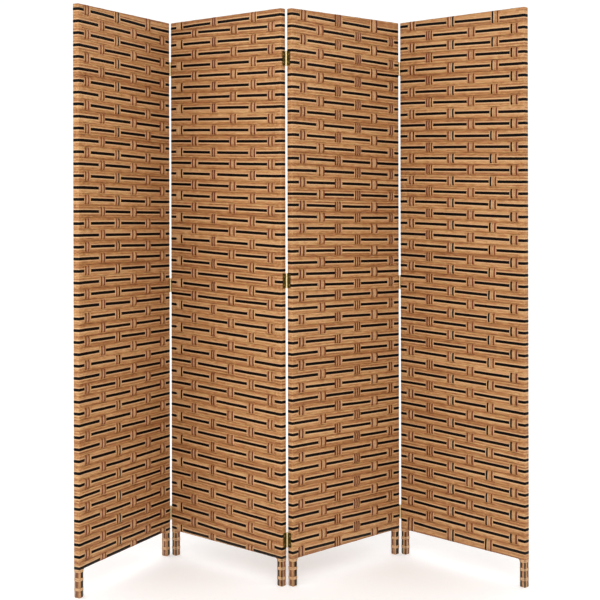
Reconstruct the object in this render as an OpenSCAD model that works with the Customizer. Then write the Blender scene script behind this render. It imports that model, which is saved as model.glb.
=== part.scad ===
// Folding room divider: four woven cord panels on wooden frames, joined by brass butt hinges.
// Z is up, X runs along the screen and the front faces -Y. Millimetres and degrees.
// A panel is built flat from its left edge, mid-thickness at y = 0, then turned into the zigzag.

/* [Panel] */
// Width of one panel over its cords
panel_w = 508; // [420:1:640]
// Height of one panel, floor to top
panel_h = 1803; // [1400:1:2200]
// Side of the square wooden posts
post_s = 18; // [15:0.5:26]
// Rounding of the posts' long edges
post_r = 1.5; // [1:0.5:5]
// Leg below the weave
leg_h = 84; // [40:1:200]
// Height of bare wood below the leg binding
foot_reveal = 1; // [0.5:0.5:5]

/* [Rails] */
// Thickness of the rails, front to back
rail_t = 13; // [10:0.5:14]
// Height of the rails
rail_h = 18; // [12:0.5:24]
// Length of the stub tenons
tenon_l = 6; // [4:0.5:6.5]
// Thickness of the tenons, front to back
tenon_t = 7; // [4:0.5:9]
// Height of the tenons
tenon_h = 12; // [8:0.5:12]

/* [Weave] */
// Rows of weft cord on each panel
rows = 47; // [37:1:57]
// Thickness of the flattened weft cord
cord_t = 2.4; // [1.5:0.1:4]
// Thickness of the warp bundles
warp_t = 2.2; // [1.2:0.1:3]
// Width of the warp bundles
warp_w = 34; // [20:1:36]
// Length over which a row narrows from the post to the open field
waist_run = 2; // [2:0.5:10]
// Width of the strand that carries the weft from row to row
carry_w = 2; // [2:0.5:5]
// Tail of each warp bundle, turned back over the last row
warp_tail = 12; // [6:1:20]
// Thickness of the cords bound round the legs
binding_t = 1.4; // [0.8:0.1:2.4]

/* [Hinges] */
// Height of a hinge
hinge_h = 45; // [36:1:60]
// Number of knuckles in a hinge, an odd number
knuckles = 5; // [3:2:7]
// Outer radius of the knuckles
knuckle_r = 2.7; // [2.5:0.1:4]
// Radius of the hinge pin
pin_r = 1.25; // [1:0.05:1.6]
// Radius of the pin's heads
pin_head_r = 2.2; // [1.8:0.1:2.5]
// Thickness of the pin's heads
pin_head_h = 1.2; // [0.6:0.1:2]
// Thickness of a leaf
leaf_t = 1.2; // [1:0.1:2]
// Width of a leaf, from the pin's axis to its far edge
leaf_w = 16; // [14:0.5:20]
// Rounding of a leaf's far corners
leaf_r = 2; // [0.5:0.5:4]
// Half the gap between two closed leaves
leaf_gap = 0.4; // [0.4:0.1:1.5]
// Distance of the pins from the panels' faces
pin_stand_off = 0.5; // [0.5:0.1:3]
// Middle of the top hinge, below the panel's top
top_hinge_drop = 157; // [100:1:250]
// Middle of the centre hinge of each fold, below the panel's top
centre_hinge_drops = [889, 851, 881]; // [500:1:1000]
// Middle of the bottom hinge, above the floor
bottom_hinge_z = 143; // [120:1:250]

/* [Screws] */
// Radius of the screws' shanks
screw_r = 1.4; // [1:0.1:1.8]
// Radius of the screws' countersunk heads
screw_head_r = 2.9; // [2.4:0.1:3.4]
// Depth of the countersunk heads
screw_head_h = 1; // [0.8:0.1:1]
// Length of the screws
screw_l = 12; // [8:0.5:12]
// Distance between the two screws of a leaf
screw_spread = 26; // [18:1:30]
// Distance of the screws from the pin's axis
screw_reach = 11; // [9:0.5:12]
// Width of the driver slot
slot_w = 0.8; // [0.5:0.1:1.2]
// Depth of the driver slot
slot_depth = 0.6; // [0.3:0.1:0.8]

/* [Stance] */
// Turn of panel 1 from the line of the screen
turn_1 = 62.5; // [0:0.1:88]
// Turn of panel 2
turn_2 = -42.6; // [-88:0.1:0]
// Turn of panel 3
turn_3 = 43.8; // [0:0.1:88]
// Turn of panel 4
turn_4 = -46.5; // [-88:0.1:0]

/* [Fits] */
// Running clearance of the pins in the knuckles
pin_fit = 0.05; // [0.02:0.01:0.1]
// Clearance round tenons, screws and warp bundles on the rows
fit = 0.1; // [0.05:0.05:0.3]
// Clearance of a knuckle from its neighbours
knuckle_fit = 0.1; // [0.05:0.05:0.3]
// Clearance between a leaf's notch and the other leaf's knuckle
notch_fit = 0.3; // [0.2:0.1:0.6]
// Clearance of a warp bundle where it passes between two rows
pass_fit = 0.3; // [0.1:0.1:0.6]

/* [Hidden] */
$fn = 48;
cut = 1;                                     // how far a cutting tool runs past a face
turns = [turn_1, turn_2, turn_3, turn_4];
panels = len(turns);

// Middles of the warp bundles as shares of the clear width, one row of shares per panel
warp_shares = [
    [0.01, 0.19, 0.39, 0.59, 0.79, 1],
    [0, 0.17, 0.38, 0.58, 0.79, 0.99],
    [0.01, 0.21, 0.4, 0.61, 0.8, 1],
    [0.01, 0.2, 0.41, 0.6, 0.8, 1],
];
bundles = len(warp_shares[0]);

panel_t = post_s + 2 * cord_t;               // over the cords at a post
edge_r = post_r + cord_t;                    // rounding of the cords over a post's edges
post_in = cord_t + post_s;                   // inner face of a post
warp_y = rail_t / 2 + cord_t + fit + warp_t / 2;
face_y = max(panel_t / 2, warp_y + warp_t / 2);
pin_y = face_y + pin_stand_off;
edge_gap = leaf_gap + leaf_t;                // from a pin's axis to the edge of its panel
bore_r = pin_r + pin_fit;
knuckle_h = hinge_h / knuckles;

row_gap = warp_t + 2 * pass_fit;
row_pitch = (panel_h - leg_h - warp_t) / rows;
frame_top = pass_z(0) - row_gap / 2;
frame_bottom = pass_z(rows) + row_gap / 2;
centre_row = ceil(rows / 2);
rail_zs = [frame_top - rail_h, pass_z(centre_row) + (row_pitch - rail_h) / 2, frame_bottom];
waist_x = post_in + fit + carry_w;           // where a row starts to narrow
clear_x = waist_x + waist_run + pass_fit;    // where the warp bundles may start

hinge_names = ["top", "centre", "bottom"];
rail_names = ["top", "centre", "bottom"];

// Height at which the warp passes between row b and row b + 1, counted from the top
function pass_z(b) = panel_h - warp_t / 2 - b * row_pitch;

// Middles of the three hinges of fold f
function hinge_zs(f) = [panel_h - top_hinge_drop, panel_h - centre_hinge_drops[f - 1], bottom_hinge_z];

// Folds are numbered 1 to 3. Odd folds turn on the front face, even folds on the back.
function fold_of(p, edge) = p - 1 + edge;
function has_fold(p, edge) = fold_of(p, edge) > 0 && fold_of(p, edge) < panels;
function fold_side(f) = f % 2 == 1 ? -1 : 1;

// Place of panel p's left edge, found by walking along the folds
function turned(v, a) = [v.x * cos(a) - v.y * sin(a), v.x * sin(a) + v.y * cos(a)];
function fold_at(f) = base_at(f) + turned([panel_w + edge_gap, fold_side(f) * pin_y], turns[f - 1]);
function base_at(p) = p == 1 ? [0, 0]
    : fold_at(p - 1) - turned([-edge_gap, fold_side(p - 1) * pin_y], turns[p - 1]);

// The origin is the middle of the screen's footprint
corner_y = panel_t / 2 - edge_r;
corners = [for (p = [1 : panels], x = [edge_r, panel_w - edge_r], y = [-corner_y, corner_y])
    base_at(p) + turned([x, y], turns[p - 1])];
corner_xs = [for (c = corners) c.x];
corner_ys = [for (c = corners) c.y];
middle = [min(corner_xs) + max(corner_xs), min(corner_ys) + max(corner_ys)] / 2;

// ---- Placing ----

module in_panel(p) {
    place = base_at(p) - middle;
    translate([place.x, place.y, 0]) rotate([0, 0, turns[p - 1]]) children();
}

// Draws at the left edge, or mirrored at the right edge
module on_edge(edge) {
    if (edge == 0) children();
    else translate([panel_w, 0, 0]) mirror([1, 0, 0]) children();
}

// Hinge frame at one edge: the pin's axis is Z, the panel's edge is at x = edge_gap
// and the leaf runs along +Y over the edge
module at_pin(p, edge) {
    side = fold_side(fold_of(p, edge));
    on_edge(edge) translate([-edge_gap, side * pin_y, 0])
        if (side < 0) children();
        else mirror([0, 1, 0]) children();
}

// Screw frame: Z runs into the post from the face of the cords
module at_screws(p, edge) {
    if (has_fold(p, edge))
        for (z = hinge_zs(fold_of(p, edge)), dz = [-1, 1] * screw_spread / 2)
            at_pin(p, edge) translate([edge_gap, screw_reach, z + dz]) rotate([0, 90, 0]) children();
}

// ---- Outlines ----

module rounded_square(s, r) {
    square([s, s - 2 * r], center = true);
    square([s - 2 * r, s], center = true);
    for (x = [-1, 1], y = [-1, 1]) translate([x, y] * (s / 2 - r)) circle(r);
}

// Outline of a row of weft seen from above, drawn in by inset
module row_outline(inset) {
    end_y = panel_t / 2 - inset;
    field_y = rail_t / 2 + cord_t - inset;
    xs = [panel_t / 2, waist_x, waist_x + waist_run];
    ys = [end_y, end_y, field_y];
    front = [for (i = [0 : 2]) [xs[i], -ys[i]]];
    back = [for (i = [2 : -1 : 0]) [xs[i], ys[i]]];
    front_end = [for (i = [2 : -1 : 0]) [panel_w - xs[i], -ys[i]]];
    back_end = [for (i = [0 : 2]) [panel_w - xs[i], ys[i]]];
    polygon(concat(front, front_end, back_end, back));
    for (x = [panel_t / 2, panel_w - panel_t / 2])
        translate([x, 0]) rounded_square(panel_t - 2 * inset, edge_r - inset);
}

// ---- Frame ----

module post(p, edge) {
    color("burlywood") in_panel(p) difference() {
        on_edge(edge) translate([cord_t + post_s / 2, 0, 0])
            linear_extrude(frame_top) rounded_square(post_s, post_r);
        on_edge(edge) for (z = rail_zs)
            translate([post_in - tenon_l - fit, -tenon_t / 2 - fit, z + (rail_h - tenon_h) / 2 - fit])
                cube([tenon_l + fit + cut, tenon_t + 2 * fit, tenon_h + 2 * fit]);
        at_screws(p, edge) cylinder(r = screw_r + fit, h = screw_l - leaf_t + fit);
    }
}

module rail(p, i) {
    clear_w = panel_w - 2 * post_in;
    color("burlywood") in_panel(p) translate([panel_w / 2, 0, rail_zs[i] + rail_h / 2]) {
        cube([clear_w, rail_t, rail_h], center = true);
        cube([clear_w + 2 * tenon_l, tenon_t, tenon_h], center = true);
    }
}

module leg_bindings(p) {
    color("tan") in_panel(p) for (edge = [0, 1])
        on_edge(edge) translate([cord_t + post_s / 2, 0, foot_reveal])
            linear_extrude(frame_bottom - foot_reveal) difference() {
                rounded_square(post_s + 2 * binding_t, post_r + binding_t);
                rounded_square(post_s, post_r);
            }
}

// ---- Weave ----

// Rows of flat cord round both posts, with the strand that carries the cord from row to row
module weft_cords(p) {
    color("tan") in_panel(p) difference() {
        union() {
            for (r = [1 : rows]) translate([0, 0, pass_z(r) + row_gap / 2])
                linear_extrude(row_pitch - row_gap) difference() {
                    row_outline(0);
                    row_outline(cord_t);
                }
            translate([post_in + fit, -(post_s + cord_t) / 2, frame_bottom])
                cube([carry_w, (post_s + cord_t - rail_t) / 2 - fit, frame_top - frame_bottom]);
        }
        for (edge = [0, 1]) at_screws(p, edge)
            translate([0, 0, -cut]) cylinder(r = screw_r + fit, h = cord_t + 2 * cut);
    }
}

// Side of the panel on which bundle i covers row r
function warp_side(r, i) = (r + i) % 2 == 1 ? -1 : 1;

// Middle line of bundle i, seen from the panel's edge: tail, alternate rows, tail
function warp_path(i) = concat(
    [[warp_side(0, i) * warp_y, pass_z(0) - warp_tail]],
    [for (b = [0 : rows], r = [b, b + 1]) [warp_side(r, i) * warp_y, pass_z(b)]],
    [[warp_side(rows + 1, i) * warp_y, pass_z(rows) + warp_tail]]
);

// Outline of a ribbon of thickness t along a path of square turns
function normal(a, b) = [a.y - b.y, b.x - a.x] / norm(b - a);
function mitre(path, i) =
    (i > 0 ? normal(path[i - 1], path[i]) : [0, 0])
    + (i < len(path) - 1 ? normal(path[i], path[i + 1]) : [0, 0]);
function ribbon(path, t) = concat(
    [for (i = [0 : len(path) - 1]) path[i] + mitre(path, i) * t / 2],
    [for (i = [len(path) - 1 : -1 : 0]) path[i] - mitre(path, i) * t / 2]
);

module warp_cords(p) {
    clear_w = panel_w - 2 * clear_x - warp_w;
    color("peru") in_panel(p) for (i = [0 : bundles - 1])
        translate([clear_x + clear_w * warp_shares[p - 1][i], 0, 0]) rotate([90, 0, 90])
            linear_extrude(warp_w) polygon(ribbon(warp_path(i), warp_t));
}

// ---- Hinges ----

// first is 0 for the leaf that has the end knuckles and 1 for the other
module hinge_leaf(first) {
    difference() {
        union() {
            translate([edge_gap - leaf_t, 0, 0]) rotate([90, 0, 90]) linear_extrude(leaf_t) {
                translate([0, -hinge_h / 2]) square([leaf_w - leaf_r, hinge_h]);
                translate([0, leaf_r - hinge_h / 2]) square([leaf_w, hinge_h - 2 * leaf_r]);
                for (z = [-1, 1] * (hinge_h / 2 - leaf_r)) translate([leaf_w - leaf_r, z]) circle(leaf_r);
            }
            for (k = [first : 2 : knuckles - 1]) translate([0, 0, k * knuckle_h - hinge_h / 2])
                cylinder(r = knuckle_r, h = knuckle_h);
        }
        for (k = [1 - first : 2 : knuckles - 1])
            translate([0, 0, k * knuckle_h - hinge_h / 2 - knuckle_fit])
                cylinder(r = knuckle_r + notch_fit, h = knuckle_h + 2 * knuckle_fit);
        cylinder(r = bore_r, h = hinge_h + 2 * cut, center = true);
        for (z = [-1, 1] * screw_spread / 2)
            translate([edge_gap - leaf_t, screw_reach, z]) rotate([0, 90, 0]) {
                translate([0, 0, -cut]) cylinder(r = screw_r + fit, h = leaf_t + 2 * cut);
                cylinder(r1 = screw_head_r + fit, r2 = screw_r + fit, h = screw_head_h);
            }
    }
}

module leaf(f, i, edge) {
    p = f + 1 - edge;
    color("goldenrod") in_panel(p) at_pin(p, edge) translate([0, 0, hinge_zs(f)[i]]) hinge_leaf(1 - edge);
}

module pins(f) {
    color("gold") in_panel(f) at_pin(f, 1) for (z = hinge_zs(f)) translate([0, 0, z]) {
        cylinder(r = pin_r, h = hinge_h + 2 * knuckle_fit, center = true);
        for (s = [0, 1]) mirror([0, 0, s]) translate([0, 0, hinge_h / 2 + knuckle_fit])
            cylinder(r = pin_head_r, h = pin_head_h);
    }
}

module screw() {
    translate([0, 0, -leaf_t]) difference() {
        union() {
            cylinder(r = screw_r, h = screw_l);
            cylinder(r1 = screw_head_r, r2 = screw_r, h = screw_head_h);
        }
        translate([-slot_w / 2, -screw_head_r - cut, -cut])
            cube([slot_w, 2 * (screw_head_r + cut), slot_depth + cut]);
    }
}

module hinge_screws(p) {
    color("goldenrod") in_panel(p) for (edge = [0, 1]) at_screws(p, edge) screw();
}

for (p = [1 : panels]) {
    post(p, 0);
    post(p, 1);
    weft_cords(p);
    warp_cords(p);
    leg_bindings(p);
    hinge_screws(p);
    for (i = [0 : len(rail_names) - 1])
        rail(p, i);
}
for (f = [1 : panels - 1]) {
    for (i = [0 : len(hinge_names) - 1]) {
        leaf(f, i, 1);
        leaf(f, i, 0);
    }
    pins(f);
}
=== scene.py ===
# %% [markdown]
# # A folding screen of woven paper cord
# Four tall panels stand in a zigzag and fold on brass hinges. Each panel is a light wooden frame.
# Flat paper cord is wound round its two posts, row below row, tan with one black strand in every
# row, and upright bundles of cord pass over one row and under the next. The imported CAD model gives
# the frames, the hinges and where everything stands. This lesson makes the cords, which are what
# the eye sees, and a finish for every piece.

# %% Load the frame
import math
import random

import bmesh
import bpy
from mathutils import Matrix, Vector


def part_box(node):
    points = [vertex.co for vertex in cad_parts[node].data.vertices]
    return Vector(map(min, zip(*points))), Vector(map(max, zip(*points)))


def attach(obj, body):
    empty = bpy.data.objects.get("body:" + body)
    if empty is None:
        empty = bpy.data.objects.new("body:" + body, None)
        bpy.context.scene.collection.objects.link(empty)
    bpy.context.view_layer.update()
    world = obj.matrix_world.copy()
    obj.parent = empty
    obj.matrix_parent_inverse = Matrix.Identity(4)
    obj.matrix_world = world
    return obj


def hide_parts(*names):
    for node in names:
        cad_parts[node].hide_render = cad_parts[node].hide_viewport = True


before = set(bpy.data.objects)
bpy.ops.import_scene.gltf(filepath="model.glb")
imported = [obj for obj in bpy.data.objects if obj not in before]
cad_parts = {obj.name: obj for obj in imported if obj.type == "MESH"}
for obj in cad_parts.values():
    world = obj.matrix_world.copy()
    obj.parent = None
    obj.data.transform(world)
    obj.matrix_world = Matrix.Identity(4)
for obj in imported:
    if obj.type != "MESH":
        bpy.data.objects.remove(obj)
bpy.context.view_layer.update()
scene = bpy.context.scene
MM = 0.001

# %% [markdown]
# ## Sizes
# The cords follow the frame, so the sizes that they share with it are those of the CAD model. A
# paper cord is pressed flat where it is wound tight: it is twice as wide as it is thick. Sizes could
# be typed where they are used, but a named value is written once and can be changed in one place.

# %% Sizes of the frame and the cords
POST = 18 * MM
POST_ROUND = 1.0 * MM           # inside of a row's corner over a post; rounder keeps off the hinges
CORD = 2.4 * MM
PANEL_DEPTH = POST + 2 * CORD
POST_INNER = POST + CORD
WAIST = 7 * MM                  # a row sinks from the post into the open field over this length
FIELD_DEPTH = 7.3 * MM          # from the middle of the panel to the inside of a row
SWELL = 0.9 * MM                # how far a row swells and sinks as it passes the bundles
SWELL_REACH = 38 * MM
BLACK_HALF = 4.1 * MM
TAN_WIDE = 4.9 * MM
BUNDLE_WIDE = 34 * MM
BUNDLE_THICK = 2.2 * MM
BUNDLE_MARGIN = 1 * MM          # between the outermost bundles and the posts
LEG_CORD_THICK = 1 * MM


# %% Small helpers
def middle(node):
    low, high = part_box(node)
    return (low + high) / 2


def blend(a, b, share):
    return a + (b - a) * share


def ease(share):
    """Goes from 0 to 1 with a slow start and a slow end."""
    share = min(max(share, 0), 1)
    return share * share * (3 - 2 * share)


# %% [markdown]
# ## Where each panel stands, and how its rows were laid
# Each panel could be modelled where it stands, but a flat one is easier to think about: it has its
# left edge at x = 0, and is turned into the zigzag at the end. The turn comes from the two posts of
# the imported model. No two panels are woven quite alike. The rows fall to the right, and in the two
# outer panels the fall eases towards the floor. The rows lie closer in some parts of a panel than
# in others, so their places bow a little, and a second bow makes the upper and the lower half
# differ. One panel starts with a level row. A bundle has seven cords, tan, brown or black, here
# written as t, b and k, and it leans a little.

# %% Panels
LEVEL_STEP = 20 * MM            # from a level first row down to the next row, at the left post
LOWEST_PAPER = 0.3 * MM         # left between the lowest black strand and the weave's lower edge
BUNDLE_APART = 2 * MM           # places further apart than this are on different bundle edges
EASED_FALL = 0.3                # share of a row's fall that is eased at the posts; the rest is even
WAVE_STARTS = (0, 6.3)          # radians, a whole turn
WAVE_SWINGS = (0.3, 1.1)        # millimetres up and down that a row strays from its line
WAVE_PACE = 9                   # radians in a metre


class Panel:
    """Where one panel stands and how its rows run, in metres, measured down from its top."""

    def __init__(self, number, first, pitch, bow, fall, bundles, level_start=False):
        self.number = number
        self.body = f"panel_{number}"
        left, right = (middle(f"{self.body}_{side}_post") for side in ("left", "right"))
        along = (right - left) * Vector((1, 1, 0))
        self.width = along.length + PANEL_DEPTH
        corner = (left - along.normalized() * PANEL_DEPTH / 2) * Vector((1, 1, 0))
        self.turn = math.atan2(along.y, along.x)
        self.place = Matrix.Translation(corner) @ Matrix.Rotation(self.turn, 4, "Z")
        self.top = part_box(f"{self.body}_left_post")[1].z
        self.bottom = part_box(f"{self.body}_weft_cords")[0].z
        self.chance = random.Random(number)
        self.bundles = [pattern for pattern, lean in bundles]
        self.leans = [lean * MM for pattern, lean in bundles]
        self.columns = self.bundle_middles()
        self.rows = self.lay_rows(first, pitch, bow, fall, level_start)
        self.waves = [(self.chance.uniform(*WAVE_STARTS), self.chance.uniform(*WAVE_SWINGS) * MM)
                      for _ in self.rows]

    def bundle_middles(self):
        """The CAD bundles' middles, from the x places of their corners."""
        flat = self.place.inverted()
        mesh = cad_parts[f"{self.body}_warp_cords"].data
        places = sorted((flat @ vertex.co).x for vertex in mesh.vertices)
        edges = [places[0]] + [b for a, b in zip(places, places[1:]) if b - a > BUNDLE_APART]
        return [edge + BUNDLE_WIDE / 2 for edge in edges[0::2]]

    def bundle_at(self, column, z):
        """Middle of a bundle at a height. It leans about its own middle."""
        share = (z - self.bottom) / (self.top - self.bottom)
        nearest = POST_INNER + BUNDLE_MARGIN + BUNDLE_WIDE / 2
        x = self.columns[column] + self.leans[column] * (share - 0.5)
        return min(max(x, nearest), self.width - nearest)

    def lay_rows(self, first, pitch, bow, fall, level_start):
        """The height of each row's black strand at the left and the right post."""
        start = self.top - first
        rows = [(start, start)] if level_start else []
        if level_start:
            start -= LEVEL_STEP
        count = int((start - self.bottom) / pitch) + 1
        for r in range(count):
            share = r / count
            left = (start - r * pitch - bow[0] * math.sin(math.pi * share)
                    - bow[1] * math.sin(math.tau * share))
            rows.append((left, left - blend(fall[0], fall[1], share)))
        lowest = self.bottom + BLACK_HALF + LOWEST_PAPER
        return [tuple(max(z, lowest) for z in row) for row in rows]

    def strand(self, row, x):
        """Height of the black strand of a row."""
        left, right = self.rows[row]
        eased = ease((x - POST_INNER / 2) / (self.width - POST_INNER))
        even = min(max((x - POST_INNER) / (self.width - 2 * POST_INNER), 0), 1)
        share = eased * EASED_FALL + (1 - EASED_FALL) * even
        phase, swing = self.waves[row]
        return blend(left, right, share) + swing * math.sin(phase + WAVE_PACE * x)

    def edge(self, row, x):
        """Height of the line between row - 1 and row."""
        if row == 0:
            return self.top
        if row == len(self.rows):
            return min(self.bottom, self.strand(row - 1, x) - BLACK_HALF)
        return (self.strand(row - 1, x) + self.strand(row, x)) / 2


panels = [
    Panel(1, first=15.7 * MM, pitch=36.07 * MM, bow=(0.5 * MM, 0), fall=(12 * MM, 8.5 * MM),
          bundles=(("tbttbtt", 1), ("ttbttbt", -4), ("tbttktt", -6),
                   ("ttbtttb", 7), ("tbtttbt", 5), ("btttbtt", 3))),
    Panel(2, first=18 * MM, pitch=37.1 * MM, bow=(-16 * MM, 0), fall=(14 * MM, 14 * MM),
          level_start=True,
          bundles=(("tttttkt", 6), ("tbttbtt", 8), ("ttbtbtt", 13),
                   ("tbtttbt", 28), ("ttbttbt", 20), ("tbttbtt", 8))),
    Panel(3, first=16.7 * MM, pitch=36.5 * MM, bow=(7 * MM, 6.5 * MM), fall=(12 * MM, 12 * MM),
          bundles=(("tbttbtt", 18), ("ttbtttb", -11), ("btbtbtt", 7),
                   ("tbtbtbt", 12), ("tbttttb", 1), ("ttbtbtt", 13))),
    Panel(4, first=12.7 * MM, pitch=36.34 * MM, bow=(8 * MM, 3.5 * MM), fall=(12 * MM, 9 * MM),
          bundles=(("ttbttbt", 12), ("tbtbtbt", 1), ("tbtttkt", 4),
                   ("tbtttbt", 12), ("tktttbt", 31), ("tktttbt", 6))),
]
for panel in panels:
    print(panel.body, "width", round(panel.width, 4), "rows", len(panel.rows),
          "bundles at", [round(x, 3) for x in panel.columns])

# %% [markdown]
# ## Camera
# The eye is at chest height, some four metres away. The camera could be tilted down to take in the
# whole screen, but then the upright edges would lean towards each other. So it stays level, and
# its lens is shifted down, as in a view camera, which keeps the uprights upright.

# %% Camera
EYE = Vector((-0.068, -3.961, 1.229))
ROLL = math.radians(-0.12)
camera_data = bpy.data.cameras.new("camera")
camera = bpy.data.objects.new("camera", camera_data)
scene.collection.objects.link(camera)
camera_data.sensor_width = 36
camera_data.lens = 73.9
camera_data.shift_x = 0.031
camera_data.shift_y = -0.180
camera.matrix_world = (Matrix.Translation(EYE) @ Matrix.Rotation(math.radians(90), 4, "X")
                       @ Matrix.Rotation(ROLL, 4, "Z"))
scene.camera = camera

# %% [markdown]
# ## One strip of grid for every cord
# A cord is a long narrow tube. Blender can bevel a curve, but here each cord's cross-section
# changes with the weave, so each one starts as a flat grid from `bmesh.ops.create_grid`. One way
# of the grid runs along the cord and the other way runs round it. Every vertex is moved to its
# place, and the seam is welded. The grid comes with a UV map, so a pattern can follow the cord:
# U is metres along it, and the whole part of V numbers the cord, which gives it its own tone.

# %% Grids that become cords
WELD = 0.001 * MM
PATTERN_SHIFT = 0.37            # metres of pattern between one cord's number and the next
TUBE_SIDES = 6


def start_piece():
    bm = bmesh.new()
    bm.loops.layers.uv.new("cord")
    bm.verts.layers.float.new("painted_highlight")
    return bm


def add_grid(bm, along, around, place, painted_highlight, length, cords, number):
    """Adds a grid whose vertices go to place(i, j), welds its seams and maps it along the cord.
    The function given after place tells for each (i, j) how strongly a painted highlight makes the
    paper pale there, from 0 to 1. Cords are numbered ten apart, and their number picks their tone."""
    grid = bmesh.ops.create_grid(bm, x_segments=along, y_segments=around, size=0.5, calc_uvs=True)
    uv = bm.loops.layers.uv["cord"]
    verts = grid["verts"]
    for face in {face for vert in verts for face in vert.link_faces}:
        face.smooth = True
        for loop in face.loops:
            u, v = loop[uv].uv
            loop[uv].uv = (u * length + number * PATTERN_SHIFT, v * cords + number)
    layer = bm.verts.layers.float["painted_highlight"]
    for vert in verts:
        i, j = round((vert.co.x + 0.5) * along), round((vert.co.y + 0.5) * around)
        vert.co = place(i, j)
        vert[layer] = painted_highlight(i, j)
    bmesh.ops.remove_doubles(bm, verts=verts, dist=WELD)
    return verts


def add_tube(bm, points, wide, thick, across, number, painted_highlights=None):
    """Adds a flat cord along points. across is the way of its width."""
    path = [Vector(p) for p in points]
    normals = []
    for i in range(len(path)):
        tangent = path[min(i + 1, len(path) - 1)] - path[max(i - 1, 0)]
        normals.append(tangent.cross(across).normalized())

    def place(i, j):
        angle = math.tau * (j % TUBE_SIDES) / TUBE_SIDES
        return (path[i] + across * (wide / 2 * math.cos(angle))
                + normals[i] * (thick / 2 * math.sin(angle)))

    # the painted highlight given for each point of the path
    def painted_highlight(i, j):
        return painted_highlights[i] if painted_highlights else 0

    length = sum((b - a).length for a, b in zip(path, path[1:]))
    verts = add_grid(bm, len(path) - 1, TUBE_SIDES, place, painted_highlight, length, 1, number)
    rims = {edge for vert in verts if vert.is_valid for edge in vert.link_edges if edge.is_boundary}
    bmesh.ops.holes_fill(bm, edges=list(rims), sides=TUBE_SIDES)


def finish_piece(bm, name, panel, material, replaced=()):
    """Turns the panel's flat mesh into its place in the screen and makes it an object."""
    bmesh.ops.recalc_face_normals(bm, faces=bm.faces)
    bm.transform(panel.place)
    mesh = bpy.data.meshes.new(name)
    bm.to_mesh(mesh)
    bm.free()
    piece = bpy.data.objects.new(name, mesh)
    scene.collection.objects.link(piece)
    mesh.materials.append(material)
    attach(piece, panel.body)
    if replaced:
        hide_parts(*replaced)
    print(name, len(mesh.polygons), "faces")


# %% [markdown]
# ## Finishes
# A finish that several materials share is a shader node group. "Paper cord" draws what a twisted
# paper cord shows: every cord has a tone of its own, slanting folds run round it, and the paper is
# crinkled. It paints shade into the bottoms of the folds and crinkles, and paints a highlight where a
# mesh attribute asks for one. It could read Object coordinates, but then the pattern would cut straight
# through every bend. It reads the UV map made above, so the folds follow each cord round the posts.

# %% Helpers for node groups
def new_group(name, inputs, outputs):
    """A shader node group with float or colour inputs, given as name: default."""
    group = bpy.data.node_groups.new(name, "ShaderNodeTree")
    for socket, default in inputs.items():
        kind = "NodeSocketFloat" if isinstance(default, (int, float)) else "NodeSocketColor"
        made = group.interface.new_socket(socket, in_out="INPUT", socket_type=kind)
        made.default_value = default
    for socket, kind in outputs.items():
        group.interface.new_socket(socket, in_out="OUTPUT", socket_type=kind)
    return group, group.nodes.new("NodeGroupInput"), group.nodes.new("NodeGroupOutput")


def feed(tree, socket, value):
    """Links a socket to an output, or sets its value."""
    if isinstance(value, bpy.types.NodeSocket):
        tree.links.new(value, socket)
    else:
        socket.default_value = value


def math_node(tree, operation, *values):
    node = tree.nodes.new("ShaderNodeMath")
    node.operation = operation
    for socket, value in zip(node.inputs, values):
        feed(tree, socket, value)
    return node.outputs[0]


def mix_colour(tree, factor, a, b, kind="MIX"):
    node = tree.nodes.new("ShaderNodeMix")
    node.data_type = "RGBA"
    node.blend_type = kind
    feed(tree, node.inputs["Factor"], factor)
    feed(tree, node.inputs["A"], a)
    feed(tree, node.inputs["B"], b)
    return node.outputs["Result"]


def map_range(tree, value, from_min, from_max, to_min, to_max):
    node = tree.nodes.new("ShaderNodeMapRange")
    for socket, given in zip(node.inputs, (value, from_min, from_max, to_min, to_max)):
        feed(tree, socket, given)
    return node.outputs["Result"]


def noise(tree, vector, scale, detail):
    node = tree.nodes.new("ShaderNodeTexNoise")
    feed(tree, node.inputs["Vector"], vector)
    feed(tree, node.inputs["Scale"], scale)
    feed(tree, node.inputs["Detail"], detail)
    return node.outputs["Fac"]


def times(tree, a, b):
    return math_node(tree, "MULTIPLY", a, b)


def combine(tree, x, y, z):
    node = tree.nodes.new("ShaderNodeCombineXYZ")
    for socket, value in zip(node.inputs, (x, y, z)):
        feed(tree, socket, value)
    return node.outputs[0]


# %% Paper cord
FOLD_SLANT = 0.9                # turns that a fold of the twist leans over the width of a cord
CRINKLES = (260.0, 3.0, 5.3)    # noise steps to a metre, over the width and from cord to cord
SLOW_TONES = (9.0, 3.7)         # to a metre and from cord to cord
PATCHES = (55.0, 0.9)           # the same, for short stretches of another tone
HUES = (38.0, 1.3)              # the same, for redder and greener stretches
REDDER, GREENER = (1.0, 0.80, 0.66, 1), (0.86, 0.94, 0.62, 1)
HUE_STRENGTH = 0.6


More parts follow.
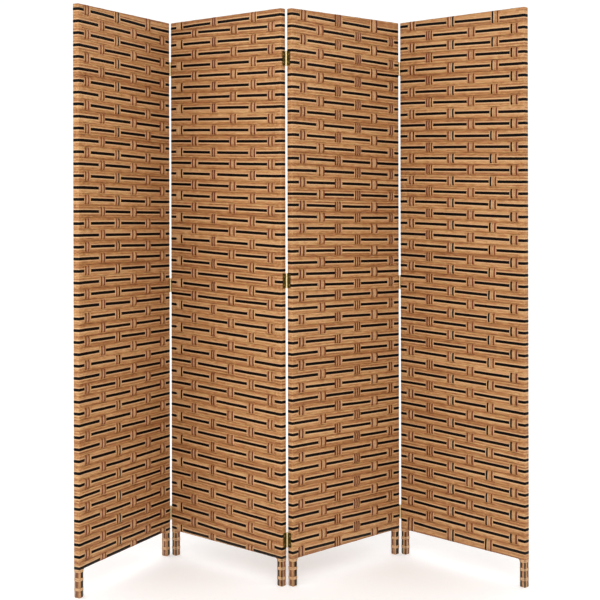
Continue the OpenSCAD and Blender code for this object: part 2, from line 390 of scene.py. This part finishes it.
def make_paper_group():
    group, given, out = new_group(
        "Paper cord",
        {"Deep": (0.30, 0.12, 0.04, 1), "Middle": (0.52, 0.27, 0.11, 1), "Pale": (0.70, 0.46, 0.24, 1),
         "Twist Length": 0.007, "Crinkle": 0.5, "Tone Spread": 1.0, "Rub": 0.5},
        {"Color": "NodeSocketColor", "Roughness": "NodeSocketFloat", "Height": "NodeSocketFloat"})
    deep, middle_tone, pale = (given.outputs[name] for name in ("Deep", "Middle", "Pale"))
    uv = group.nodes.new("ShaderNodeUVMap")
    uv.uv_map = "cord"
    split = group.nodes.new("ShaderNodeSeparateXYZ")
    group.links.new(uv.outputs[0], split.inputs[0])
    along, v = split.outputs[0], split.outputs[1]
    number = math_node(group, "FLOOR", v)
    across = math_node(group, "FRACT", v)

    # slanting folds of the twist
    turns = math_node(group, "DIVIDE", along, given.outputs["Twist Length"])
    slant = math_node(group, "ADD", turns, times(group, across, FOLD_SLANT))
    fold = times(group, math_node(group, "PINGPONG", slant, 0.5), 2.0)

    # crinkled paper, stretched along the cord
    crinkle_at = combine(group, times(group, along, CRINKLES[0]), times(group, across, CRINKLES[1]),
                         times(group, number, CRINKLES[2]))
    crinkle = noise(group, crinkle_at, 1.0, detail=3.0)

    # a tone of its own for each cord, a slow change along it, and patches
    own = group.nodes.new("ShaderNodeTexWhiteNoise")
    own.noise_dimensions = "1D"
    group.links.new(number, own.inputs["W"])
    slow_at = combine(group, times(group, along, SLOW_TONES[0]), times(group, number, SLOW_TONES[1]), 0.0)
    slow = noise(group, slow_at, 1.0, detail=1.0)
    patch_at = combine(group, times(group, along, PATCHES[0]), times(group, v, PATCHES[1]), 3.0)
    patches = noise(group, patch_at, 1.0, detail=2.0)
    tone = math_node(group, "ADD", times(group, own.outputs["Value"], 0.4), times(group, slow, 0.6))
    tone = math_node(group, "MULTIPLY_ADD", patches, 1.0, tone)
    tone = math_node(group, "SUBTRACT", tone, 1.0)
    tone = math_node(group, "MULTIPLY_ADD", tone, given.outputs["Tone Spread"], 0.5)
    body = mix_colour(group, map_range(group, tone, 0.0, 0.5, 0.0, 1.0), deep, middle_tone)
    body = mix_colour(group, map_range(group, tone, 0.5, 1.0, 0.0, 1.0), body, pale)

    # painted shade: the bottoms of folds and crinkles are darkened, as if shaded
    relief = math_node(group, "MULTIPLY_ADD", crinkle, given.outputs["Crinkle"], times(group, fold, 0.5))
    shade = map_range(group, relief, 0.15, 0.8, 0.35, 0.0)
    colour = mix_colour(group, shade, body, deep)

    # the fibres of a cord differ: some are redder, some greener
    hue_at = combine(group, times(group, along, HUES[0]), times(group, v, HUES[1]), 8.0)
    hue = noise(group, hue_at, 1.0, detail=1.0)
    tint = mix_colour(group, map_range(group, hue, 0.3, 0.7, 0.0, 1.0), REDDER, GREENER)
    colour = mix_colour(group, HUE_STRENGTH, colour, mix_colour(group, 1.0, colour, tint, "MULTIPLY"))

    # painted highlight: the paper is painted pale where the mesh attribute asks for it
    painted_highlight = group.nodes.new("ShaderNodeAttribute")
    painted_highlight.attribute_name = "painted_highlight"
    highlit = times(group, painted_highlight.outputs["Fac"], given.outputs["Rub"])
    colour = mix_colour(group, highlit, colour, pale)
    group.links.new(colour, out.inputs["Color"])
    group.links.new(map_range(group, crinkle, 0.3, 0.7, 0.5, 0.75), out.inputs["Roughness"])
    group.links.new(relief, out.inputs["Height"])
    return group


# %% [markdown]
# ## Dust
# The lowest hand's breadth of a screen gathers dust. It could be painted into each finish by hand,
# but one group adds it to all of them: it fades out with height above the floor and is broken up by
# noise.

# %% Floor dust
DUST = (0.42, 0.36, 0.29, 1)


def make_dust_group():
    group, given, out = new_group(
        "Floor dust", {"Color": (0.5, 0.5, 0.5, 1), "Reach": 0.12, "Strength": 0.25},
        {"Color": "NodeSocketColor"})
    place = group.nodes.new("ShaderNodeTexCoord")
    split = group.nodes.new("ShaderNodeSeparateXYZ")
    group.links.new(place.outputs["Object"], split.inputs[0])
    low = math_node(group, "DIVIDE", split.outputs[2], given.outputs["Reach"])
    low = map_range(group, low, 0.0, 1.0, 1.0, 0.0)
    cloud = noise(group, place.outputs["Object"], 90.0, detail=3.0)
    amount = times(group, times(group, low, cloud), given.outputs["Strength"])
    dusty = mix_colour(group, amount, given.outputs["Color"], DUST)
    group.links.new(dusty, out.inputs["Color"])
    return group


paper_group = make_paper_group()
dust_group = make_dust_group()


def place_group(tree, group, **values):
    node = tree.nodes.new("ShaderNodeGroup")
    node.node_tree = group
    for name, value in values.items():
        feed(tree, node.inputs[name.replace("_", " ")], value)
    return node


def start_material(name):
    material = bpy.data.materials.new(name)
    material.use_nodes = True
    tree = material.node_tree
    return material, tree, tree.nodes["Principled BSDF"]


def add_bump(tree, shader, height, strength, distance):
    bump = tree.nodes.new("ShaderNodeBump")
    bump.inputs["Strength"].default_value = strength
    bump.inputs["Distance"].default_value = distance
    tree.links.new(height, bump.inputs["Height"])
    tree.links.new(bump.outputs["Normal"], shader.inputs["Normal"])


def paper_material(name, sheen=0.35, **values):
    material, tree, shader = start_material(name)
    paper = place_group(tree, paper_group, **values)
    dust = place_group(tree, dust_group, Color=paper.outputs["Color"])
    tree.links.new(dust.outputs["Color"], shader.inputs["Base Color"])
    tree.links.new(paper.outputs["Roughness"], shader.inputs["Roughness"])
    shader.inputs["Specular IOR Level"].default_value = sheen
    add_bump(tree, shader, paper.outputs["Height"], strength=0.7, distance=0.5 * MM)
    return material


tan_paper = paper_material("tan paper cord", Deep=(0.22, 0.075, 0.024, 1), Middle=(0.44, 0.210, 0.084, 1),
                           Pale=(0.68, 0.42, 0.22, 1), Rub=0.7, Tone_Spread=1.25)
brown_paper = paper_material("brown paper cord", sheen=0.2, Deep=(0.06, 0.013, 0.004, 1),
                             Middle=(0.16, 0.038, 0.012, 1), Pale=(0.28, 0.085, 0.03, 1), Rub=0.0)
black_paper = paper_material("black paper cord", sheen=0.08, Deep=(0.001, 0.001, 0.001, 1),
                             Middle=(0.002, 0.0015, 0.0015, 1), Pale=(0.006, 0.004, 0.004, 1),
                             Tone_Spread=0.6, Rub=0.0)
PAPERS = {"t": tan_paper, "b": brown_paper, "k": black_paper}
PAPER_NAMES = {"t": "tan", "b": "brown", "k": "black"}

# %% [markdown]
# ## Wood
# The rails and posts show only at the feet and through small gaps. They are plain planed softwood,
# with grain that runs along each piece. A Wave texture would draw even rings. Noise that is
# stretched along the post or, once turned with the panel, along the rail looks more like a
# planed board.

# %% Wood
GRAIN_FINE, GRAIN_LONG = 300.0, 9.0     # noise steps in a metre, across the grain and along it


def make_wood_group():
    group, given, out = new_group(
        "Planed wood",
        {"Early": (0.55, 0.36, 0.19, 1), "Late": (0.33, 0.18, 0.08, 1), "Turn": 0.0, "Upright": 1.0},
        {"Color": "NodeSocketColor", "Roughness": "NodeSocketFloat", "Height": "NodeSocketFloat"})
    place = group.nodes.new("ShaderNodeTexCoord")
    turn = group.nodes.new("ShaderNodeVectorRotate")
    turn.rotation_type = "Z_AXIS"
    group.links.new(place.outputs["Object"], turn.inputs["Vector"])
    group.links.new(given.outputs["Turn"], turn.inputs["Angle"])
    split = group.nodes.new("ShaderNodeSeparateXYZ")
    group.links.new(turn.outputs[0], split.inputs[0])
    x, y, z = split.outputs
    upright = combine(group, times(group, x, GRAIN_FINE), times(group, y, GRAIN_FINE),
                      times(group, z, GRAIN_LONG))
    lying = combine(group, times(group, z, GRAIN_FINE), times(group, y, GRAIN_FINE),
                    times(group, x, GRAIN_LONG))
    grain_at = mix_colour(group, given.outputs["Upright"], lying, upright)
    grain = noise(group, grain_at, 1.0, detail=4.0)
    colour = mix_colour(group, map_range(group, grain, 0.35, 0.65, 0.0, 1.0),
                        given.outputs["Early"], given.outputs["Late"])
    group.links.new(colour, out.inputs["Color"])
    group.links.new(map_range(group, grain, 0.3, 0.7, 0.55, 0.7), out.inputs["Roughness"])
    group.links.new(grain, out.inputs["Height"])
    return group


wood_group = make_wood_group()


def wood_material(name, turn, upright):
    material, tree, shader = start_material(name)
    wood = place_group(tree, wood_group, Turn=-turn, Upright=upright)
    dust = place_group(tree, dust_group, Color=wood.outputs["Color"])
    tree.links.new(dust.outputs["Color"], shader.inputs["Base Color"])
    tree.links.new(wood.outputs["Roughness"], shader.inputs["Roughness"])
    add_bump(tree, shader, wood.outputs["Height"], strength=0.25, distance=0.3 * MM)
    return material


# %% [markdown]
# ## Brass
# The hinges are thinly brass plated. Those with their pins in front are given a lighter brass and
# those with their pins behind, deep in the middle fold, a dark olive brown: lit and shaded copies of
# one brass, which is painted light and painted shade. The knuckles could be painted bright as pieces
# of their own, but they belong to the leaves, so the finish grows brighter near the pin's axis, a
# painted highlight. Fine scratches catch the light, and the finish is duller in patches.

# %% Brass
KNUCKLE = 2.7 * MM              # outer radius
GLINT_EDGE = 1 * MM              # over which the painted highlight of a knuckle fades out
SCRATCH_SCALE = 2600.0
SCRATCH_LENGTH = (1, 1, 0.05)   # scratches run up and down


def make_brass_group():
    group, given, out = new_group(
        "Aged brass",
        {"Bright": (0.62, 0.46, 0.17, 1), "Aged": (0.21, 0.14, 0.035, 1), "Age": 0.6, "Polish": 0.3,
         "Glint": (0.80, 0.68, 0.42, 1), "Pin X": 0.0, "Pin Y": 0.0},
        {"Color": "NodeSocketColor", "Roughness": "NodeSocketFloat", "Height": "NodeSocketFloat"})
    place = group.nodes.new("ShaderNodeTexCoord")
    patches = noise(group, place.outputs["Object"], 160.0, detail=4.0)
    stretch = group.nodes.new("ShaderNodeMapping")
    stretch.inputs["Scale"].default_value = SCRATCH_LENGTH
    group.links.new(place.outputs["Object"], stretch.inputs["Vector"])
    scratches = noise(group, stretch.outputs[0], SCRATCH_SCALE, detail=2.0)
    aged = map_range(group, patches, 0.35, 0.65, 0.0, 1.0)
    aged = math_node(group, "MULTIPLY_ADD", aged, 0.5, given.outputs["Age"])
    aged = math_node(group, "MINIMUM", aged, 1.0)
    colour = mix_colour(group, aged, given.outputs["Bright"], given.outputs["Aged"])
    # painted highlight: the brass grows bright near the pin's axis, where the knuckles catch the light
    split = group.nodes.new("ShaderNodeSeparateXYZ")
    group.links.new(place.outputs["Object"], split.inputs[0])
    away_x = math_node(group, "SUBTRACT", split.outputs[0], given.outputs["Pin X"])
    away_y = math_node(group, "SUBTRACT", split.outputs[1], given.outputs["Pin Y"])
    away = math_node(group, "SQRT", math_node(group, "MULTIPLY_ADD", away_x, away_x,
                                              times(group, away_y, away_y)))
    knuckle_glint = map_range(group, away, KNUCKLE, KNUCKLE + GLINT_EDGE, 1.0, 0.0)
    colour = mix_colour(group, knuckle_glint, colour, given.outputs["Glint"])
    group.links.new(colour, out.inputs["Color"])
    rough = math_node(group, "MULTIPLY_ADD", patches, 0.3, given.outputs["Polish"])
    group.links.new(rough, out.inputs["Roughness"])
    group.links.new(scratches, out.inputs["Height"])
    return group


brass_group = make_brass_group()


def brass_material(name, **values):
    material, tree, shader = start_material(name)
    brass = place_group(tree, brass_group, **values)
    dust = place_group(tree, dust_group, Color=brass.outputs["Color"], Strength=0.1)
    tree.links.new(dust.outputs["Color"], shader.inputs["Base Color"])
    tree.links.new(brass.outputs["Roughness"], shader.inputs["Roughness"])
    shader.inputs["Metallic"].default_value = 1.0
    add_bump(tree, shader, brass.outputs["Height"], strength=0.15, distance=0.1 * MM)
    return material


# lit and shaded copies of one brass: painted light for hinges with their pins in front, painted shade for
# the middle fold's
LIT_BRASS = {"Bright": (0.80, 0.56, 0.28, 1), "Aged": (0.52, 0.33, 0.14, 1), "Age": 0.2}
SHADED_BRASS = {"Bright": (0.24, 0.17, 0.035, 1), "Aged": (0.05, 0.03, 0.008, 1), "Age": 0.4}
NO_PIN = -9.0                   # an axis so far off that it brightens nothing
screw_brass = brass_material("screw brass", Age=0.35, Polish=0.25, Pin_X=NO_PIN)


# %% Finishes for the pieces of the CAD model
def refinish(node, material):
    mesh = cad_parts[node].data
    mesh.materials.clear()
    mesh.materials.append(material)


for panel in panels:
    upright = wood_material(f"{panel.body} post wood", panel.turn, upright=1.0)
    lying = wood_material(f"{panel.body} rail wood", panel.turn, upright=0.0)
    for side in ("left", "right"):
        refinish(f"{panel.body}_{side}_post", upright)
    for level in ("top", "centre", "bottom"):
        refinish(f"{panel.body}_{level}_rail", lying)
for fold in (1, 2, 3):
    pin = middle(f"hinge_{fold}_pins")
    # the middle fold's hinges get the painted shade, the others the painted light
    finish = SHADED_BRASS if fold == 2 else LIT_BRASS
    hinge_brass = brass_material(f"hinge {fold} brass", Pin_X=pin.x, Pin_Y=pin.y, **finish)
    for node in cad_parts:
        if node.startswith(f"hinge_{fold}_"):
            refinish(node, hinge_brass)
for panel in panels:
    refinish(f"{panel.body}_hinge_screws", screw_brass)

# %% [markdown]
# ## The rows
# A row is about seven flat cords side by side: three tan, one black, three tan. It goes round both
# posts and narrows between them, where nothing holds its front and back apart. It sinks under the
# bundles that cross it and swells between them. Each cord could be a curve of its own, but there
# are well over a thousand. So the cords of one colour that lie side by side share one ring, which
# is one grid: along it runs the way round the frame, and across it the outer faces of the cords
# stand up as ridges.

# %% Way round the frame
BEFORE_POST, PAST_POST = 4 * MM, 2 * MM     # vertices on both sides of a post's inner edge
BESIDE_BUNDLE, UNDER_BUNDLE = 9 * MM, 2 * MM    # and of a bundle's edge
CLOSEST = 5 * MM                # between two vertices along a face
CORNER_TURNS = (30, 60)         # degrees round a corner at which it has vertices


def face_places(panel, columns):
    """Where along a face a ring needs vertices: close together where it passes a bundle."""
    half = BUNDLE_WIDE / 2
    near = [CORD + POST_ROUND, POST_INNER - BEFORE_POST, POST_INNER + PAST_POST, POST_INNER + WAIST]
    wanted = near + [panel.width - x for x in near]
    for x in columns:
        wanted += [x - half - BESIDE_BUNDLE, x - half + UNDER_BUNDLE, x,
                   x + half - UNDER_BUNDLE, x + half + BESIDE_BUNDLE]
    kept = []
    for x in sorted(wanted):
        if not kept or x - kept[-1] > CLOSEST:
            kept.append(x)
    return kept


def inner_depth(panel, columns, x, row, face):
    """From the middle of the panel to the inside of a row. face is -1 in front and 1 behind."""
    in_field = ease((min(x, panel.width - x) - POST_INNER) / WAIST)
    depth = blend(POST / 2, FIELD_DEPTH, in_field)
    for column, middle_x in enumerate(columns):
        reach = abs(x - middle_x) / SWELL_REACH
        if reach < 1:
            covered = (1 if (row + column) % 2 == 0 else -1) == -face
            swell = 0.5 + 0.5 * math.cos(math.pi * reach)
            depth += in_field * SWELL * swell * (-1 if covered else 1)
    return depth


def ring_stations(panel, row):
    """Points on the inside of a ring with the way that each faces, once round from the left edge."""
    columns = [panel.bundle_at(column, panel.rows[row][0]) for column in range(len(panel.columns))]
    centre_y = POST / 2 - POST_ROUND
    near_x, far_x = CORD + POST_ROUND, panel.width - CORD - POST_ROUND
    xs = face_places(panel, columns)

    def corner(x, y, start):
        turn = [math.radians(start + step) for step in CORNER_TURNS]
        return [(x + POST_ROUND * math.cos(a), y + POST_ROUND * math.sin(a), math.cos(a), math.sin(a))
                for a in turn]

    left, right = CORD, panel.width - CORD
    stations = [(left, 0, -1, 0), (left, -centre_y, -1, 0)] + corner(near_x, -centre_y, 180)
    stations += [(x, -inner_depth(panel, columns, x, row, -1), 0, -1) for x in xs]
    stations += corner(far_x, -centre_y, 270)
    stations += [(right, -centre_y, 1, 0), (right, 0, 1, 0), (right, centre_y, 1, 0)]
    stations += corner(far_x, centre_y, 0)
    stations += [(x, inner_depth(panel, columns, x, row, 1), 0, 1) for x in reversed(xs)]
    stations += corner(near_x, centre_y, 90) + [(left, centre_y, -1, 0)]
    return stations


# %% Rings of cord
EDGE_SHARE = 0.66               # thickness of a flat cord at its edges, as a share of the whole
INSIDE_LINES = (0.9, 0.1)       # vertices on the inside of a ring, as shares of its height


def add_ring(bm, stations, low, high, cords, steps, thick, number, highlit=None):
    """Adds a closed ring of flat cords between two lists of heights, with steps faces over each.
    The last argument is the cord that gets a painted highlight, counted from the lowest."""
    along, ridges = len(stations), cords * steps
    around = ridges + 1 + len(INSIDE_LINES)
    length = sum(math.dist(a[:2], b[:2]) for a, b in zip(stations, stations[1:]))

    def place(i, j):
        x, y, face_x, face_y = stations[i % along]
        j %= around
        if j <= ridges:
            up = j / ridges
            out = thick * (EDGE_SHARE + (1 - EDGE_SHARE) * math.sin(math.pi * (j % steps) / steps))
        else:
            up = INSIDE_LINES[j - ridges - 1]
            out = 0
        height = blend(low[i % along], high[i % along], up)
        return Vector((x + face_x * out, y + face_y * out, height))

    # a painted highlight along the middle of the chosen cord
    def painted_highlight(i, j):
        return 1.0 if highlit is not None and highlit * steps < j < (highlit + 1) * steps else 0.0

    add_grid(bm, along, around, place, painted_highlight, length, around / steps, number)


# %% Wind the rows
SEAM = 0.03 * MM                # half of the gap between two rows
LEAST_PAPER = 0.1 * MM          # the least height that a row keeps below its black strand
LEAST_RING = 1.5 * MM           # where there is less room than this, no tan cord is laid
TAN_STEPS, BLACK_STEPS = 3, 5   # faces over the width of one cord
BLACK_THICK = CORD * 1.08       # the black strand stands a little proud
NUMBERS_IN_RING = 10            # a ring has fewer cords than this

number = 0
for panel in panels:
    upper, lower, black = start_piece(), start_piece(), start_piece()
    for r in range(len(panel.rows)):
        stations = ring_stations(panel, r)
        xs = [station[0] for station in stations]
        top = [panel.edge(r, x) - SEAM for x in xs]
        above = [panel.strand(r, x) + BLACK_HALF for x in xs]
        below = [panel.strand(r, x) - BLACK_HALF for x in xs]
        base = [min(panel.edge(r + 1, x) + SEAM, b - LEAST_PAPER) for x, b in zip(xs, below)]
        for bm, low, high in ((upper, above, top), (lower, base, below)):
            widest = max(h - l for l, h in zip(low, high))
            if widest > LEAST_RING:
                cords = max(1, round(widest / TAN_WIDE))
                # the tan cord beside the black strand gets a painted highlight
                add_ring(bm, stations, low, high, cords, TAN_STEPS, CORD, number,
                         highlit=0 if bm is upper else cords - 1)
                number += NUMBERS_IN_RING
        add_ring(black, stations, below, above, 1, BLACK_STEPS, BLACK_THICK, number)
    finish_piece(upper, f"{panel.body}_tan_cords_above_black", panel, tan_paper,
                 [f"{panel.body}_weft_cords"])
    finish_piece(lower, f"{panel.body}_tan_cords_below_black", panel, tan_paper)
    finish_piece(black, f"{panel.body}_black_cords", panel, black_paper)

# %% [markdown]
# ## The bundles
# Seven flat cords side by side pass over a row, dive between two rows and come up over the next row
# on the other face. At both ends of the panel they turn over the edge. They could be woven by a
# simulation, but a path of points through the rows is quick, and it is the same on every run. Each
# cord is a tube along that path, and the two or three colours of cord become separate pieces. The
# crowns of the tan cords, where they stand out, get a painted highlight.

# %% Path of a bundle
# Where a bundle passes over a row: the share of the row's height, and of the bundle's full depth.
FLOAT = ((0.05, 0.60), (0.13, 0.88), (0.33, 0.99), (0.67, 0.99), (0.87, 0.88), (0.95, 0.60))
OVER_ROW = 0.3 * MM             # between a row and the bundle that passes over it
BUNDLE_DEPTH = FIELD_DEPTH - SWELL + CORD + BUNDLE_THICK / 2 + OVER_ROW
TURN_OVER = 0.5 * MM            # from the weave's edge out to the middle of a cord that turns over it
TURN_ROUND = 2.2 * MM           # the room that the turn takes
CROWN = 0.9                     # above this share of the depth a cord gets a painted highlight
CROWN_HIGHLIGHT = 0.6


def bundle_path(panel, column):
    """The cord's way down the panel as (lean, y, z, painted highlight): over the top edge, through the
    rows and under the last of them."""
    x = panel.columns[column]
    last = len(panel.rows) - 1
    edges = [panel.edge(row, x) for row in range(last + 2)]
    first_side = -1 if column % 2 == 0 else 1
    last_side = first_side * (-1) ** last
    flat = BUNDLE_DEPTH - TURN_ROUND
    path = [(-first_side * flat, edges[0] + TURN_OVER, 0), (first_side * flat, edges[0] + TURN_OVER, 0),
            (first_side * BUNDLE_DEPTH, edges[0] - TURN_ROUND, 0)]
    for row in range(last + 1):
        side = first_side * (-1) ** row
        steps = FLOAT[2:] if row == 0 else FLOAT
        steps = steps[:-2] if row == last else steps
        # the crowns of the floats get a painted highlight
        path += [(side * BUNDLE_DEPTH * reach, blend(edges[row], edges[row + 1], share),
                  CROWN_HIGHLIGHT if reach > CROWN else 0) for share, reach in steps]
    path += [(last_side * BUNDLE_DEPTH, edges[-1] + TURN_ROUND, 0),
             (last_side * flat, edges[-1] - TURN_OVER, 0), (-last_side * flat, edges[-1] - TURN_OVER, 0)]
    return [(panel.bundle_at(column, z) - x, y, z, painted_highlight) for y, z, painted_highlight in path]


# %% Bundles
ROUND_BACK = 0.02               # share of depth lost for each cord away from the bundle's middle
DARK_PROUD = 0.04               # share of depth that a dark cord stands out
TAN_SHARE, DARK_SHARE = 0.88, 1.55  # width, as a share of a cord's place; dark ones lap over
STRAY = 0.35                    # millimetres that a cord strays sideways

for panel in panels:
    pieces = {colour: start_piece() for colour in sorted(set("".join(panel.bundles)))}
    for column, x in enumerate(panel.columns):
        pattern = panel.bundles[column]
        cord_wide = BUNDLE_WIDE / len(pattern)
        path = bundle_path(panel, column)
        for place_in, colour in enumerate(pattern):
            offset = (place_in - (len(pattern) - 1) / 2) * cord_wide
            crown = 1 - ROUND_BACK * abs(offset / cord_wide) + (0 if colour == "t" else DARK_PROUD)
            wide = cord_wide * (TAN_SHARE if colour == "t" else DARK_SHARE)
            points = [(x + lean + offset + panel.chance.uniform(-STRAY, STRAY) * MM, y * crown, z)
                      for lean, y, z, painted_highlight in path]
            number = panel.number * 1000 + column * 100 + place_in * 10
            add_tube(pieces[colour], points, wide, BUNDLE_THICK, Vector((1, 0, 0)), number,
                     painted_highlights=[painted_highlight for lean, y, z, painted_highlight in path])
    replaced = [f"{panel.body}_warp_cords"]
    for colour, bm in pieces.items():
        finish_piece(bm, f"{panel.body}_{PAPER_NAMES[colour]}_bundle_cords", panel, PAPERS[colour],
                     replaced)
        replaced = []

# %% [markdown]
# ## Cords along the top and bottom edges
# Four cords lie along the top of each frame and four under the bottom rail, beneath the turned
# bundles, and cover the wood there. A flat strip would cover it too, but from above the separate
# cords would be missed.

# %% Edge cords
EDGE_CORDS = 4
EDGE_THICK = 1.2 * MM
EDGE_STEPS = 14                 # lengths that a cord is divided into

for panel in panels:
    bm = start_piece()
    cord_wide = POST / EDGE_CORDS
    for line in range(EDGE_CORDS):
        y = (line - (EDGE_CORDS - 1) / 2) * cord_wide
        for level, (z, start) in enumerate(((panel.top + EDGE_THICK / 2, CORD),
                                            (panel.bottom - EDGE_THICK / 2, POST_INNER))):
            points = [(blend(start, panel.width - start, i / EDGE_STEPS), y, z)
                      for i in range(EDGE_STEPS + 1)]
            add_tube(bm, points, cord_wide, EDGE_THICK, Vector((0, 1, 0)),
                     10 * (line + EDGE_CORDS * level))
    finish_piece(bm, f"{panel.body}_edge_cords", panel, tan_paper)

# %% [markdown]
# ## The legs
# Below the weave the cords run down the legs, tan with brown and black ones among them. A thin tan
# cord ties them down every few centimetres, so a dark cord shows as a row of dashes. Short cords
# round off the corner between the weave and a leg. At the foot the ends are turned in. One leg
# could be made and copied, but then all eight would be alike. A function makes each one, and starts
# its pattern of colours at another cord.

# %% Leg cords
LEG_PATTERN = "ttkttbtttbtttkkk"                # round a leg, from the front of its right side
LEG_SHIFTS = ((0, 0), (3, 3), (0, 1), (3, 3))   # where each leg starts in it, by panel
LEG_SPACE = 4.5 * MM
# A leg cord from the weave to the foot: the share of the way down, and millimetres that it bulges.
LEG_PROFILE = ((0, 0), (0.18, 0), (0.5, 0.1), (0.8, 0.3), (0.92, 0.5), (0.97, 0.2), (1, -1.2))
FOOT = 1.2 * MM


def leg_outline(half, rounding):
    """Points round a leg with the way that each faces, three to a side and one to a corner."""
    outline = []
    for quarter in range(4):
        turn = Matrix.Rotation(math.pi / 2 * quarter, 2)
        for side in (-LEG_SPACE, 0, LEG_SPACE):
            outline.append((turn @ Vector((half, side)), turn @ Vector((1, 0))))
        corner = half - rounding + rounding * math.cos(math.pi / 4)
        outline.append((turn @ Vector((corner, corner)), turn @ Vector((1, 1)).normalized()))
    return outline


def add_leg(pieces, panel, leg_x, shift, number):
    outline = leg_outline(POST / 2 + LEG_CORD_THICK / 2, POST_ROUND + LEG_CORD_THICK)
    for place, (point, facing) in enumerate(outline):
        colour = LEG_PATTERN[(place + shift) % len(LEG_PATTERN)]
        points = []
        for down, bulge in LEG_PROFILE:
            out = point + facing * bulge * MM
            points.append((leg_x + out.x, out.y, blend(panel.bottom, FOOT, down)))
        across = Vector((-facing.y, facing.x, 0))
        add_tube(pieces[colour], points, LEG_SPACE, LEG_CORD_THICK, across, number + place * 10)


# %% Ties and rounded corners
TIE_THICK = 0.7 * MM
TIE_WIDE = 4.6 * MM
TIE_STEPS = 4
TIE_TILT = 0.06                 # the most that a tie rises or falls across a leg, as a slope
TIE_HEIGHTS = (-5, -9.6, -31, -35.6, -61, -65.6)    # lower edges, from the weave's, in millimetres
KNEE_CORDS = 5
KNEE_LAYERS = 3
KNEE_STEPS = 5
KNEE_THICK = 3 * MM
LEG_NUMBERS = 2000              # cord numbers kept for one leg
KNEE_NUMBERS, TIE_NUMBERS = 1000, 500   # where those of its knee and of its ties start


def add_tie(bm, leg_x, height, tilt, number):
    """A ring of thin cord round a leg, with a painted highlight along its crown."""
    outline = leg_outline(POST / 2 + LEG_CORD_THICK, POST_ROUND + LEG_CORD_THICK)
    stations = [(leg_x + p.x, p.y, f.x, f.y) for p, f in outline]
    low = [height + tilt * p.x for p, f in outline]
    # the tie's crown gets a painted highlight
    add_ring(bm, stations, low, [z + TIE_WIDE for z in low], 1, TIE_STEPS, TIE_THICK, number, highlit=0)


def add_knee(bm, panel, leg_x, inward, number):
    """Short cords in arcs from the weave's lower edge to the leg's inner side, in layers."""
    start = leg_x + inward * (POST / 2 + LEG_CORD_THICK)
    space = POST / KNEE_CORDS
    for layer in range(1, KNEE_LAYERS + 1):
        radius = layer * KNEE_THICK
        for line in range(KNEE_CORDS):
            y = (line - (KNEE_CORDS - 1) / 2) * space
            points = []
            for step in range(KNEE_STEPS + 1):
                a = math.pi / 2 * step / KNEE_STEPS
                x = start + inward * radius * (1 - math.sin(a))
                points.append((x, y, panel.bottom - radius * (1 - math.cos(a))))
            add_tube(bm, points, space, KNEE_THICK, Vector((0, 1, 0)), number + layer * 100 + line * 10)


# %% Bind the legs
for panel in panels:
    pieces = {colour: start_piece() for colour in PAPERS}
    ties = start_piece()
    for leg, (leg_x, inward) in enumerate(((PANEL_DEPTH / 2, 1), (panel.width - PANEL_DEPTH / 2, -1))):
        number = (panel.number * 2 + leg) * LEG_NUMBERS
        add_leg(pieces, panel, leg_x, LEG_SHIFTS[panel.number - 1][leg], number)
        add_knee(ties, panel, leg_x, inward, number + KNEE_NUMBERS)
        for tie, drop in enumerate(TIE_HEIGHTS):
            add_tie(ties, leg_x, panel.bottom + drop * MM, panel.chance.uniform(-TIE_TILT, TIE_TILT),
                    number + TIE_NUMBERS + tie * 10)
    replaced = [f"{panel.body}_leg_bindings"]
    for colour, bm in pieces.items():
        finish_piece(bm, f"{panel.body}_{PAPER_NAMES[colour]}_leg_cords", panel, PAPERS[colour],
                     replaced)
        replaced = []
    finish_piece(ties, f"{panel.body}_leg_ties", panel, tan_paper)

# %% [markdown]
# ## Floor and light
# The screen stands on a plain white floor. A few small lamps would draw hard shadows in the weave.
# Here a white world lights it from all round, one large lamp stands in front and above, and a
# smaller one near the left end lights the first panel.

# %% Floor
FLOOR_HALF = 30                 # metres
FLOOR_GLOW = 0.14               # keeps the floor white in the shade

floor_bm = bmesh.new()
bmesh.ops.create_grid(floor_bm, x_segments=1, y_segments=1, size=FLOOR_HALF)
floor_mesh = bpy.data.meshes.new("floor")
floor_bm.to_mesh(floor_mesh)
floor_bm.free()
floor = bpy.data.objects.new("floor", floor_mesh)
scene.collection.objects.link(floor)
floor_material, _, floor_shader = start_material("studio floor")
floor_shader.inputs["Base Color"].default_value = (0.93, 0.93, 0.93, 1)
floor_shader.inputs["Roughness"].default_value = 0.8
floor_shader.inputs["Emission Color"].default_value = (1, 1, 1, 1)
floor_shader.inputs["Emission Strength"].default_value = FLOOR_GLOW
floor_mesh.materials.append(floor_material)


# %% Lights
def add_lamp(name, place, target, size, power):
    data = bpy.data.lights.new(name, "AREA")
    data.shape = "SQUARE"
    data.size = size
    data.energy = power
    lamp = bpy.data.objects.new(name, data)
    scene.collection.objects.link(lamp)
    lamp.location = place
    lamp.rotation_mode = "QUATERNION"
    lamp.rotation_quaternion = (Vector(target) - Vector(place)).to_track_quat("-Z", "Y")


world = bpy.data.worlds.new("studio")
scene.world = world
world.use_nodes = True
sky = world.node_tree.nodes["Background"]
sky.inputs["Color"].default_value = (1, 1, 1, 1)
sky.inputs["Strength"].default_value = 1.06
add_lamp("front lamp", place=(0.2, -4.5, 3.0), target=(0, 0, 0.9), size=3.0, power=70)
add_lamp("left lamp", place=(-1.7, -1.7, 1.4), target=(-0.2, 0, 0.9), size=1.2, power=9)
scene.view_settings.view_transform = "Standard"
